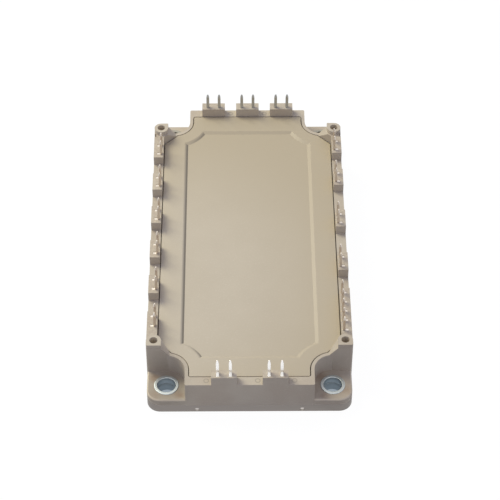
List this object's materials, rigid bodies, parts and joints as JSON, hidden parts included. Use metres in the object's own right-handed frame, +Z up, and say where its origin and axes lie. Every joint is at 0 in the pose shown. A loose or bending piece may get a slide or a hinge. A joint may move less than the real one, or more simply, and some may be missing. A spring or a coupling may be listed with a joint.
{
  "type": "power semiconductor module",
  "caption": "Flat power semiconductor module with a tan plastic case, metal base plate, corner screw tabs and rows of solder pins standing round a recessed lid.",
  "frame": {"origin": "centre of the underside of the base plate", "axes": "+X across the width, +Y along the length towards the end with three pin pairs, +Z up from the heat sink face to the pins"},
  "size_m": [0.062, 0.122, 0.0212],
  "materials": {
    "nickel_plate": "dull nickel plating on copper",
    "case_plastic": "matt moulded, glass filled",
    "lid_plastic": "matt moulded, glass filled",
    "sleeve_metal": "zinc plated",
    "pin_metal": "nickel and tin plated copper",
    "alumina": "matt",
    "copper_foil": "satin copper",
    "silicon": "satin",
    "thermistor_body": "matt",
    "wire_aluminium": "bright drawn",
    "silicone_gel": "clear, soft"
  },
  "bodies": {
    "root": {"base_plate": "nickel_plate", "bond_wires_1": "wire_aluminium", "bond_wires_2": "wire_aluminium", "bond_wires_3": "wire_aluminium", "copper_bottom_1": "copper_foil", "copper_bottom_2": "copper_foil", "copper_bottom_3": "copper_foil", "copper_top_1": "copper_foil", "copper_top_2": "copper_foil", "copper_top_3": "copper_foil", "diode_1": "silicon", "diode_2": "silicon", "diode_3": "silicon", "diode_4": "silicon", "diode_5": "silicon", "diode_6": "silicon", "diode_7": "silicon", "gel": "silicone_gel", "housing": "case_plastic", "igbt_1": "silicon", "igbt_2": "silicon", "igbt_3": "silicon", "igbt_4": "silicon", "igbt_5": "silicon", "igbt_6": "silicon", "igbt_7": "silicon", "lid": "lid_plastic", "rectifier_diode_1": "silicon", "rectifier_diode_2": "silicon", "rectifier_diode_3": "silicon", "rectifier_diode_4": "silicon", "rectifier_diode_5": "silicon", "rectifier_diode_6": "silicon", "sleeve_front_left": "sleeve_metal", "sleeve_front_right": "sleeve_metal", "sleeve_rear_left": "sleeve_metal", "sleeve_rear_right": "sleeve_metal", "substrate_1": "alumina", "substrate_2": "alumina", "substrate_3": "alumina", "terminals_front_1": "pin_metal", "terminals_front_2": "pin_metal", "terminals_left_1": "pin_metal", "terminals_left_2": "pin_metal", "terminals_left_3": "pin_metal", "terminals_left_4": "pin_metal", "terminals_left_5": "pin_metal", "terminals_left_6": "pin_metal", "terminals_rear_1": "pin_metal", "terminals_rear_2": "pin_metal", "terminals_rear_3": "pin_metal", "terminals_right_1": "pin_metal", "terminals_right_2": "pin_metal", "terminals_right_3": "pin_metal", "terminals_right_4": "pin_metal", "terminals_right_5": "pin_metal", "thermistor": "thermistor_body"}
  },
  "joints": []
}
